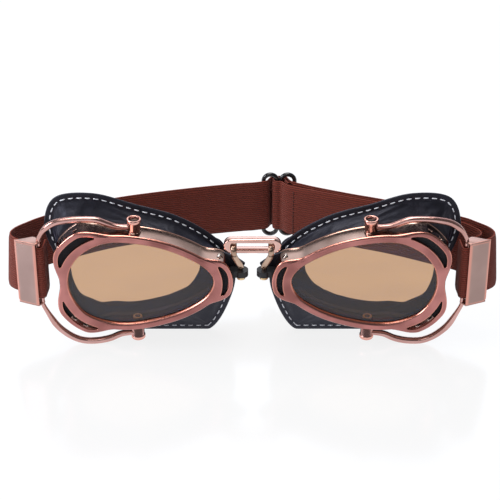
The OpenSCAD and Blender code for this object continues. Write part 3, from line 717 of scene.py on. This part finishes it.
# How high the barrels stand on their seats; FOOT is where the lower arms stand on the table
TOP_BARREL, LOW_BARREL = 5.6, 7.8
TOP_ARM, LOW_ARM = seat_top + 0.1 + TOP_BARREL - 3.9, seat_bottom - 0.1 - LOW_BARREL + 2.6
FOOT = 1.2
ROD_X, ROD_TOP, ROD_LOW, ROD = 90.9, 52.6, 20.6, 1.9
UPPER = [(PIVOT_X, TOP_ARM), (57, TOP_ARM + 0.1), (61.5, TOP_ARM + 1.6), (66, TOP_ARM + 3.3),
         (72, TOP_ARM + 3.6), (ROD_X - 13, TOP_ARM + 3.2), (ROD_X - 7.4, TOP_ARM + 1.9),
         (ROD_X - 3, TOP_ARM - 1.2), (ROD_X - 0.6, ROD_TOP + 1.6), (ROD_X, ROD_TOP)]
LOWER = [(PIVOT_X, LOW_ARM), (57, LOW_ARM - 0.8), (61.8, FOOT + 1.7), (65.6, FOOT + 0.6),
         (69.4, FOOT + 0.1), (ROD_X - 17.6, FOOT + 0.2), (ROD_X - 13.8, FOOT + 1.3),
         (ROD_X - 9.6, FOOT + 4), (ROD_X - 5.2, FOOT + 8.7), (ROD_X - 1.1, ROD_LOW - 2.8),
         (ROD_X, ROD_LOW)]


def open_at(points, per):
    """Points of an open Catmull-Rom curve, so many to a span."""
    p = np.array([points[0]] + list(points) + [points[-1]], float)
    found = []
    for i in range(1, len(p) - 2):
        t = np.linspace(0, 1, per, endpoint=False)[:, None]
        found += list(catmull_rom(*p[i - 1:i + 3], t))
    return np.array(found + [p[-2]])


BAR_STEPS = 20


def sweep(path, width, depth, square):
    """A bar along a path in the front view; its section goes from round to square with one number."""
    verts = []
    for p, d, w, t, k in zip(path, headings(path), width, depth, square):
        n = np.array([-d[1], d[0]])
        for a in turns(BAR_STEPS):
            c, s = math.cos(a), math.sin(a)
            grow = (abs(c) ** k + abs(s) ** k) ** (-1 / k)
            verts.append(from_front(p + n * (w / 2 * c * grow), t / 2 * s * grow))
    return verts, rod_faces(len(path), BAR_STEPS)


# The bar's copper is paler than the cup's: partly its own finish and partly a painted highlight
copper_bail = antique_copper("antique_copper_bar", "#D2A7A2", "#F0B2A2", "#BE928C", 0.17)
arm_top, arm_low = open_at(UPPER, 10), open_at(LOWER, 10)
for side in ("left", "right"):
    upright_rod = [(ROD_X, z) for z in np.linspace(ROD_TOP - 1, ROD_LOW + 1, 12)]
    path = np.vstack([arm_top, upright_rod, arm_low[::-1]])
    count = len(path)
    rod = ease((path[:, 0] - ROD_X + 5) / 4.5)
    neck = ease((path[:, 0] - PIVOT_X) / 14)
    width = (1.8 + 0.9 * neck) * (1 - rod) + ROD * rod
    depth = 2.8 * (1 - rod) + ROD * rod
    square = (4.0 - 1.2 * neck) * (1 - rod) + 2.0 * rod
    # The arms begin inside the barrels
    keep = np.where(path[:, 0] < PIVOT_X + 2.4)[0]
    first, last = keep[keep < count // 2].max(), keep[keep > count // 2].min()
    span = slice(first, last + 1)
    bar = sweep(path[span], width[span], depth[span], square[span])
    corners = np.abs(np.sin(2 * turns(BAR_STEPS)))
    wear = np.tile(0.45 * corners ** 4, last + 1 - first)
    barrels = []
    for top, foot, high in ((True, seat_top + 0.1, TOP_BARREL), (False, seat_bottom - 0.1, LOW_BARREL)):
        profile = [(1.26, 0), (2.45, 0), (2.7, 0.25), (2.7, high - 1.95), (3.02, high - 1.6),
                   (3.1, high - 1.3), (3.1, high - 0.3), (2.9, high), (2.4, high), (2.25, high - 0.15),
                   (2.25, high - 1.8), (1.26, high - 1.8)]
        v, f = lathe(profile, (PIVOT_X, 0, 0))
        f += [[c * 12 + 11, (c + 1) % 48 * 12 + 11, (c + 1) % 48 * 12, c * 12] for c in range(48)]
        v = [[x, y, foot + z if top else foot - z] for x, y, z in v]
        barrels.append((v, f if top else [q[::-1] for q in f]))
    verts, faces = joined(bar, *barrels)
    barrel_wear = ([0, 0.3, 0.6, 0.1, 0.5, 0.9, 0.7, 1, 0.8, 0.2, 0, 0] * 48) * 2
    make_piece("copper_bail_" + side, verts, faces, copper_bail, "bail_" + side, "copper_bail",
               ["bail_" + side], side, crease=50, wear=list(wear) + barrel_wear)

screw_steel = antique_copper("darkened_screw_steel", "#8D7468", "#E8D5C8", "#4A3B36", 0.22)
# The brass is paler than plain turned brass: painted light on nuts that sit in shade
turned_brass_painted_light = antique_copper("turned_brass_painted_light", "#EBCFA4", "#FFEBC8", "#C9A578", 0.38)
for side in ("left", "right"):
    dress("pivot_screws_" + side, screw_steel)
    dress("pivot_nuts_" + side, turned_brass_painted_light)
    dress("hook_nut_" + side, turned_brass_painted_light)


# ---- Strap clips ----
# Sheet bent into a shallow box that turns on the bail's rod: a brushed front face and a cap above
# and below it. The strap's loop passes behind the face.

CLIP_Z, CLIP_W, CLIP_H, SHEET = 36.6, 10, 31.2, 0.8
yaw = math.radians(23)
face_dir = np.array([math.cos(yaw), math.sin(yaw)])
face_back = np.array([-face_dir[1], face_dir[0]])
face_in = np.array([ROD_X, 0]) - (ROD / 2 + 1.6 + SHEET) * face_back
face_out = face_in + CLIP_W * face_dir
clip_rear = np.array([ROD_X + 2.6, 3.8])


def upright(outline, z0, z1, bevel):
    """An upright plate cut to an outline seen from above, with rounded edges."""
    outline = np.array(outline, float)
    middle = outline.mean(0)
    verts, count = [], len(outline)
    for z, inset in ((z0, bevel), (z0 + 0.3 * bevel, 0.3 * bevel), (z0 + bevel, 0), (z1 - bevel, 0),
                     (z1 - 0.3 * bevel, 0.3 * bevel), (z1, bevel)):
        for p in outline:
            d = middle - p
            verts.append([*(p + d / max(np.linalg.norm(d), 1e-6) * inset), z])
    faces = [[r * count + k, r * count + (k + 1) % count, (r + 1) * count + (k + 1) % count,
              (r + 1) * count + k] for r in range(5) for k in range(count)]
    return verts, faces + [list(range(count - 1, -1, -1)), list(range(5 * count, 6 * count))]


def rounded_corners(points, radius):
    """An outline with each corner turned into an arc."""
    points, found = np.array(points, float), []
    for i in range(len(points)):
        p, a, b = points[i], points[i - 1], points[(i + 1) % len(points)]
        u, v = (a - p) / np.linalg.norm(a - p), (b - p) / np.linalg.norm(b - p)
        for t in np.linspace(0, 1, 6):
            found.append(p + u * radius * (1 - t) ** 2 + v * radius * t ** 2)
    return np.array(found)


def bent_sheet(width, height):
    """The clip's front as a panel with rolled edges and a rounded lower corner, with how rubbed it is."""
    corner = 2.0
    edges = np.array([0, 0.08, 0.25, 0.5, 0.85, 1.2, 1.6])
    u = np.concatenate([edges, np.linspace(2.2, width - 2.2, 6), (width - edges)[::-1]])
    v = np.concatenate([edges, np.linspace(2.4, height - 2.4, 11), (height - edges)[::-1]])
    verts, worn = [], []
    for y in (0, 1):
        for a in u:
            cut = corner - math.sqrt(corner ** 2 - max(a - (width - corner), 0) ** 2)
            for b in v:
                rim = min(a, width - a, b, height - b)
                roll = 0.25 * (1 - ease(rim / 0.5))
                p = face_in + a * face_dir + (roll if y == 0 else SHEET - roll) * face_back
                verts.append([p[0], p[1], CLIP_Z - CLIP_H / 2 + b + cut * (1 - b / height)])
                worn.append(0.85 * (1 - ease((rim - 0.5) / (1.2 if rim == a else 0.8))))
    rows, size = len(v), len(u) * len(v)
    faces = grid(len(u), rows)
    faces += [[size + i for i in f[::-1]] for f in faces]
    rim = [k * rows for k in range(len(u))] + [(len(u) - 1) * rows + k for k in range(1, rows)]
    rim += [k * rows + rows - 1 for k in range(len(u) - 2, -1, -1)] + list(range(rows - 2, 0, -1))
    faces += [[a, a + size, b + size, b] for a, b in zip(rim, rim[1:] + rim[:1])]
    return verts, faces, worn


copper_clip = antique_copper("brushed_antique_copper", "#AE938C", "#E8A090", "#A48A84", 0.3, 0.25,
                             (6, 6, 0.06))
for side in ("left", "right"):
    low, high = CLIP_Z - CLIP_H / 2, CLIP_Z + CLIP_H / 2
    *front, worn = bent_sheet(CLIP_W, CLIP_H)
    plan = rounded_corners([face_in, face_out, clip_rear, (ROD_X - 0.4, 1.5), (ROD_X - 1.25, 0.1)], 0.7)
    caps = [upright(plan, z, z + SHEET, 0.2) for z in (low + 0.02, high - SHEET - 0.02)]
    cap_wear = [0.2, 0.6, 0.1, 0.1, 0.6, 0.2]
    worn = worn + [cap_wear[k // len(plan)] for _ in caps for k in range(6 * len(plan))]
    make_piece("strap_clip_plate_" + side, *joined(front, *caps), copper_clip, "clip_" + side, "copper_clip",
               ["strap_clip_" + side], side, wear=worn)


# ---- Elastic strap ----
# Brown woven elastic 25 mm wide and 1.2 mm thick, with raised ribs along it. One length goes from
# clip to clip through the slider; its end comes back to the slider and is sewn round the middle bar.

STRAP_Z, STRAP_W, STRAP_T = 37.0, 25.0, 1.2
# The slider's wire, how wide each of its loops is and how far from its middle they stand
SLIDER_X, SLIDER_Y = 12.2, 59.5
BAR_R, LOOP_W, LOOP_STEP = 1.0, 8.2, 3.95
SIDE_BAR = LOOP_STEP + LOOP_W / 2 - BAR_R
MID_BAR = 2 * LOOP_STEP - SIDE_BAR
WRAP_R = BAR_R + 0.15 + STRAP_T / 2
BEND_OUT = WRAP_R + 0.35 + STRAP_T


def at_slider(points):
    return [(SLIDER_X + x, SLIDER_Y + y) for x, y in points]


# Both routes as seen from above; beside each clip the elastic swings out in a loop
LOOP = [(1.6, 2.3), (6, 4.4), (11, 7.1), (13.5, 11), (12, 15.8)]
MAIN_RUN = [(-ROD_X - x, y) for x, y in LOOP]
MAIN_RUN += [(-ROD_X - 7, 20.8), (-ROD_X - 1.1, 25.5), (-77, SLIDER_Y - 24.9), (-61, SLIDER_Y - 17.3),
             (-41.5, SLIDER_Y - 11.6), (-22, SLIDER_Y - 7), (-6, SLIDER_Y - 3.9)]
MAIN_RUN += at_slider([(-SIDE_BAR - 5, -3.1), (-SIDE_BAR - 2, -2.4), (-SIDE_BAR, -WRAP_R - 0.2),
                       (1.6 - SIDE_BAR, -1.1), (2.5 - SIDE_BAR, 0.5), (-MID_BAR - 2.9, 2.1),
                       (-MID_BAR - 1.5, BEND_OUT - 0.4), (-MID_BAR, BEND_OUT - 0.07),
                       (MID_BAR + 0.4, BEND_OUT - 0.07), (MID_BAR + 2.3, 2.5), (SIDE_BAR - 3.1, 1),
                       (SIDE_BAR - 2.3, -0.7), (SIDE_BAR - 1.1, -2.1), (SIDE_BAR + 0.6, -WRAP_R - 1.4),
                       (SIDE_BAR + 3.4, -4.5)])
MAIN_RUN += [(29, SLIDER_Y - 7.5), (43.7, SLIDER_Y - 13.4), (61, SLIDER_Y - 19.8), (78, SLIDER_Y - 28.3),
             (ROD_X + 1.1, 25), (ROD_X + 7, 20.6)]
MAIN_RUN += [(ROD_X + x, y) for x, y in LOOP[::-1]]
LOOP_R = ROD / 2 + 0.15 + STRAP_T / 2
INNER_RUN = at_slider([(MID_BAR + 3.35, -3.1), (MID_BAR + 2.5, -1.6), (MID_BAR + 1.95, -0.2),
                       (MID_BAR + 1.45, 1), (MID_BAR + 0.3, WRAP_R), (-MID_BAR, WRAP_R),
                       (-MID_BAR - 0.72 * WRAP_R, 0.72 * WRAP_R), (-MID_BAR - WRAP_R, 0),
                       (-MID_BAR - 0.75 * WRAP_R, -0.75 * WRAP_R), (-MID_BAR, -WRAP_R - 0.1),
                       (MID_BAR + 0.35, -WRAP_R - 0.45), (MID_BAR + 4.05, -6.1)])
INNER_RUN += [(29, SLIDER_Y - 10.9), (43.7, SLIDER_Y - 16.6), (61, SLIDER_Y - 23.1), (78, SLIDER_Y - 31.3),
              (ROD_X - 0.8, 21.3), (ROD_X + 4.6, 16.8), (ROD_X + 7.6, 12.6), (ROD_X + 6.6, 9.2),
              (ROD_X + 2.4, 6.6), (ROD_X - 0.4, LOOP_R + 0.1)]

woven_elastic, tree = new_material("brown_woven_elastic")
lay = add(tree, "UVMap", uv_map="along")
flat = add(tree, "SeparateXYZ", {"Vector": lay})
# Ribs along the strap every 1.05 mm, and weft threads every 0.5 mm, coarser than real weft
rib = add(tree, "Math", {0: flat.outputs["Y"], 1: 2 * math.pi / 1.05}, operation="MULTIPLY")
rib = add(tree, "Math", {0: rib}, operation="COSINE")
weft = add(tree, "Math", {0: flat.outputs["X"], 1: 2 * math.pi / 0.5}, operation="MULTIPLY")
weft = add(tree, "Math", {0: weft}, operation="COSINE")
crimp = add(tree, "Math", {0: rib, 1: weft}, operation="MULTIPLY")
height = add(tree, "Math", {0: crimp, 1: 0.35, 2: rib}, operation="MULTIPLY_ADD")
grain = add(tree, "TexNoise", {"Vector": lay, "Scale": 1.6, "Detail": 5})
# Painted shade: the grooves between the ribs are darker and the rib tops lighter; the grain adds random tone
shade = add(tree, "MapRange", {"Value": height, 1: -1.3, 2: 1.3, 3: 0, 4: 0.75})
shade = add(tree, "Math", {0: grain.outputs["Fac"], 1: 0.35, 2: shade}, operation="MULTIPLY_ADD")
tone = add(tree, "Mix", {0: shade, 6: linear("#43180F"), 7: linear("#873625")}, data_type="RGBA")
bump = add(tree, "Bump", {"Height": height, "Strength": 0.7, "Distance": 0.00022})
yarn = add(tree, "BsdfPrincipled", {"Base Color": tone.outputs[2], "Roughness": 0.78, "Normal": bump,
                                    "Sheen Weight": 0.08, "Specular IOR Level": 0.25})
add(tree, "OutputMaterial", {"Surface": yarn})


def web(path, flare):
    """Elastic along a path seen from above; flare moves its foot sideways, in millimetres."""
    edge = []
    for side_way in (1, -1):
        for h in np.linspace(-1, 1, 13) * side_way:
            edge.append((h * STRAP_W / 2, side_way * STRAP_T / 2 * (1 - 0.55 * abs(h) ** 14)))
    verts, lengths, widths = [], [], []
    for p, d, at, lean in zip(path, headings(path), travelled(path), flare):
        n = np.array([-d[1], d[0]])
        for lift, thick in edge:
            q = p + n * (thick + lean * (1 - lift / (STRAP_W / 2)) / 2)
            verts.append([q[0], q[1], STRAP_Z + lift])
            lengths.append(at)
            widths.append(lift)
    return verts, [f[::-1] for f in rod_faces(len(path), len(edge))], lengths, widths


STEP = 0.5


def strap_piece(name, path, start, end, bodies, nodes=(), flare=0.0):
    """One length of the elastic, which rides on a body, or on none where it spans two."""
    stretch = path[start:end + 1]
    verts, faces, lengths, widths = web(stretch, flare * np.sin(np.linspace(0, math.pi, len(stretch))))
    made = make_piece(name, verts, faces, woven_elastic, None, "elastic", nodes, crease=70,
                      length=np.array(lengths) + start * STEP, width=widths)
    lay = made.data.uv_layers.new(name="along")
    length, width = made.data.attributes["length"].data, made.data.attributes["width"].data
    for loop in made.data.loops:
        lay.data[loop.index].uv = (length[loop.vertex_index].value, width[loop.vertex_index].value)
    if len(bodies) == 1:
        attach(made, bodies[0])
    else:
        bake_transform(made)


def evenly(points):
    """A smooth path through points, with a point every half millimetre."""
    fine = open_at(points, 40)
    travel = travelled(fine)
    at = np.linspace(0, travel[-1], int(travel[-1] / STEP))
    return np.stack([np.interp(at, travel, fine[:, 0]), np.interp(at, travel, fine[:, 1])], -1)


def place_on(path, x):
    """The number of the point of a path nearest a place along x, behind the clips."""
    far = np.abs(path[:, 0] - x) + np.where(path[:, 1] > BEHIND_CLIPS, 0, 1000)
    return int(np.argmin(far))


# Where each length of the elastic ends, and the bodies that it lies on or spans
BEHIND_CLIPS = 14
main = evenly(MAIN_RUN)
PIECES = [("loop_left", -95, ["clip_left"]), ("side_left", -74, ["clip_left", "bail_left"]),
          ("back_left", -58, ["bail_left", "cup_left"]), ("nape_left", -28, ["cup_left", "root"]),
          ("taut_left", -3, ["root", "slider"]), ("middle", 21, ["slider"]),
          ("taut_right", 55, ["slider", "root"]), ("nape_right", 75, ["root", "cup_right"]),
          ("back_right", 86, ["cup_right", "bail_right"]),
          ("side_right", 96, ["bail_right", "clip_right"]), ("loop_right", None, ["clip_right"])]
start = 0
for name, far, bodies in PIECES:
    end = len(main) - 1 if far is None else place_on(main, far)
    flare = 2.0 if name.startswith("loop") else 0.0
    nodes = ["strap_main"] if name == "taut_left" else ()
    strap_piece("strap_" + name, main, start, end, bodies, nodes, flare)
    start = end
inner = evenly(INNER_RUN)
start = 0
RETURNS = [PIECES[5], *PIECES[6:9], ("side_right", 93, ["bail_right", "clip_right"]), PIECES[-1]]
for name, far, bodies in RETURNS:
    end = len(inner) - 1 if far is None else place_on(inner, far)
    strap_piece("return_" + name, inner, start, end, bodies, ["strap_return"] if name == "taut_right" else ())
    start = end

# Each end of the elastic is turned round the bail's rod and stands out beside the clip
TAIL_RUN = [(ROD_X + 1.76, -1.09), (ROD_X + 0.66, -1.56), (ROD_X - 0.4, -1.65), (ROD_X - 1.3, -1.1),
            (ROD_X - 1.7, 0), (ROD_X - 1.8, 1.6), (ROD_X - 2.0, 3.8), (ROD_X - 2.2, 6.0)]
for side in ("left", "right"):
    tail = evenly(TAIL_RUN) * ((-1 if side == "left" else 1), 1)
    strap_piece("strap_tail_" + side, tail, 0, len(tail) - 1, ["clip_" + side])

# A row of brown stitches holds the return length down beside the slider
TACK, TACK_PITCH, TACK_R = 1.5, 2.0, 0.24
brown_thread = mottled("waxed_brown_thread", "TexWave", TWIST, ("#3A150F", "#5E261B"), 0.7, 0.4, 0.0001)
seam_at = place_on(inner, 19.0)
ahead = inner[seam_at + 1] - inner[seam_at]
ahead = ahead / np.linalg.norm(ahead)
front = np.array([ahead[1], -ahead[0]])
tacks = []
for z in np.arange(STRAP_Z - 11.4, STRAP_Z + 10.5, TACK_PITCH):
    rope = []
    for t in np.linspace(0, 1, 9):
        for a in turns(8):
            out = STRAP_T / 2 + 0.28 * math.sin(math.pi * t) - 0.1 + TACK_R * math.sin(a)
            q = inner[seam_at] + out * front + TACK_R * math.cos(a) * ahead
            rope.append([q[0], q[1], z + TACK * t])
    tacks.append((rope, rod_faces(9, 8)))
make_piece("return_stitches", *joined(*tacks), brown_thread, "slider", "elastic")


# ---- Slider ----
# Two wire loops side by side, joined where they touch and dipped in black enamel. The two
# touching bars are the middle bar, which one strap is sewn round and the other goes behind.

# Orange peel of about 1 mm in the dried enamel
black_enamel = mottled("dipped_black_enamel", "TexNoise", {"Scale": 900, "Detail": 2},
                       ("#0C0C0E", "#1D1D21"), 0.24, 0.15, 0.0001, {"Coat Weight": 0.4})

# Half the loops' height, and how much further they reach down than up
HALF_LOOP, LOOP_DROP = 16, 1.1
rings = []
for x in (-LOOP_STEP, LOOP_STEP):
    half_w, half_h, r = LOOP_W / 2 - BAR_R, HALF_LOOP - BAR_R, BAR_R
    line = [(half_w * math.cos(a), half_h - half_w + half_w * math.sin(a))
            for a in np.linspace(0, math.pi, 24)]
    line += [(-u, -v - LOOP_DROP) for u, v in line]
    line = np.array(line)
    n = len(line)
    ahead = np.roll(line, -1, 0) - np.roll(line, 1, 0)
    ahead /= np.linalg.norm(ahead, axis=1, keepdims=True)
    verts = []
    for (u, v), (dx, dz) in zip(line, ahead):
        for a in turns(14):
            out = r * math.cos(a)
            verts.append([SLIDER_X + x + u + dz * out, SLIDER_Y + r * math.sin(a), STRAP_Z + v - dx * out])
    rings.append((verts, [f[::-1] for f in grid(n, 14, around=True, closed=True)]))
make_piece("wire_slider", *joined(*rings), black_enamel, "slider", "slider_metal", ["slider"], crease=80)


# ---- Nose bridge ----
# A flat oblong link lies over two hooks, whose eyes go round its lower bar. Each hook's stem turns
# in a black lug beside the cup, and a brass nut closes it from below.

LINK_Z, LINK_H, LINK_W, LINK_T, LINK_BAR, LINK_END = 47.7, 6.6, 24.4, 3.6, 1.4, 2.9
copper_link = antique_copper("polished_copper_strip", "#D8B4AC", "#F4C0B0", "#B89088", 0.15)
hook_copper = antique_copper("brushed_hook_strip", "#C9AC98", "#F5DCC8", "#8E7060", 0.26, 0.15, (2, 2, 0.1))


def oblong(w, h, r):
    """An oblong with corners of a radius, seen from the front."""
    return np.array([(sx * (w / 2 - r) + r * math.cos(a), sz * (h / 2 - r) + r * math.sin(a))
                     for sx, sz, a0 in ((1, 1, 0), (-1, 1, 90), (-1, -1, 180), (1, -1, 270))
                     for a in np.radians(np.linspace(a0, a0 + 90, 10))])


link_mid = LINK_Z - LINK_BAR / 2 + LINK_H / 2
outer = oblong(LINK_W, LINK_H, LINK_H / 2 - 0.01)
inner_edge = oblong(LINK_W - 2 * LINK_END, LINK_H - 2 * LINK_BAR - 0.6, 1.25)
section = [(0, -1.5), (0.08, -1.68), (0.26, -1.8), (0.5, -1.76), (0.74, -1.8), (0.92, -1.68), (1, -1.5),
           (1, 1.5), (0.92, 1.68), (0.74, 1.8), (0.26, 1.8), (0.08, 1.68), (0, 1.5)]
verts, wear = [], []
for p, q in zip(outer, inner_edge):
    for share, y in section:
        u = p * (1 - share) + q * share
        verts.append([u[0], y, link_mid + u[1]])
        wear.append(1.0 if 1.6 < abs(y) < 1.75 else 0.2)
faces = [f[::-1] for f in grid(len(outer), len(section), around=True, closed=True)]
make_piece("bridge_link_strip", verts, faces, copper_link, "bridge", "copper_link", ["bridge_link"],
           crease=60, wear=wear)

# Blackened steel, patchy every 1.4 mm
black_oxide = mottled("black_oxide_steel", "TexNoise", {"Scale": 700, "Detail": 4}, ("#0E0E10", "#2B2A2E"),
                      (0.3, 0.5), 0.2, 0.0001, {"Metallic": 0.35})

STEM_X, LUG_TOP = 4.9, 38.0
EYE_X = LINK_W / 2 - LINK_END - 1 - 0.4
EYE_R = math.hypot(LINK_T / 2, LINK_BAR / 2 + 0.25) + 0.15
for side in ("left", "right"):
    # The strip is bent into an eye, and leans outwards from its stem
    verts = []
    for a in np.radians(np.linspace(-90, 270, 40, endpoint=False)):
        for r, x in ((EYE_R, -1.2), (EYE_R, 1.2), (EYE_R + 0.55, 1.2), (EYE_R + 0.85, 0.95),
                     (EYE_R + 0.95, 0.6), (EYE_R + 0.95, -0.6), (EYE_R + 0.85, -0.95), (EYE_R + 0.55, -1.2)):
            verts.append([EYE_X + x, r * math.cos(a), LINK_Z + r * math.sin(a)])
    eye = (verts, grid(40, 8, around=True, closed=True))
    lean = open_at([(STEM_X, LUG_TOP + 0.5), (STEM_X + 0.5, LUG_TOP + 2.2),
                    (EYE_X - 0.5, LINK_Z - EYE_R - 1.6), (EYE_X, LINK_Z - EYE_R - 0.3)], 8)
    verts, faces = sweep(lean, [2.5] * len(lean), [0.95] * len(lean), [5] * len(lean))
    stem = lathe([(0.02, 34.0), (0.8, 34.0), (0.8, 38.9), (0.6, 39.0), (0.02, 39.0)], (STEM_X, 0, 0), 24)
    strip = (verts, [f[::-1] for f in faces])
    make_piece("hook_strip_" + side, *joined(eye, strip, stem), hook_copper, "root", "copper_hook",
               ["nose_hook_" + side], side, crease=45)
    dress("nose_lug_" + side, black_oxide)
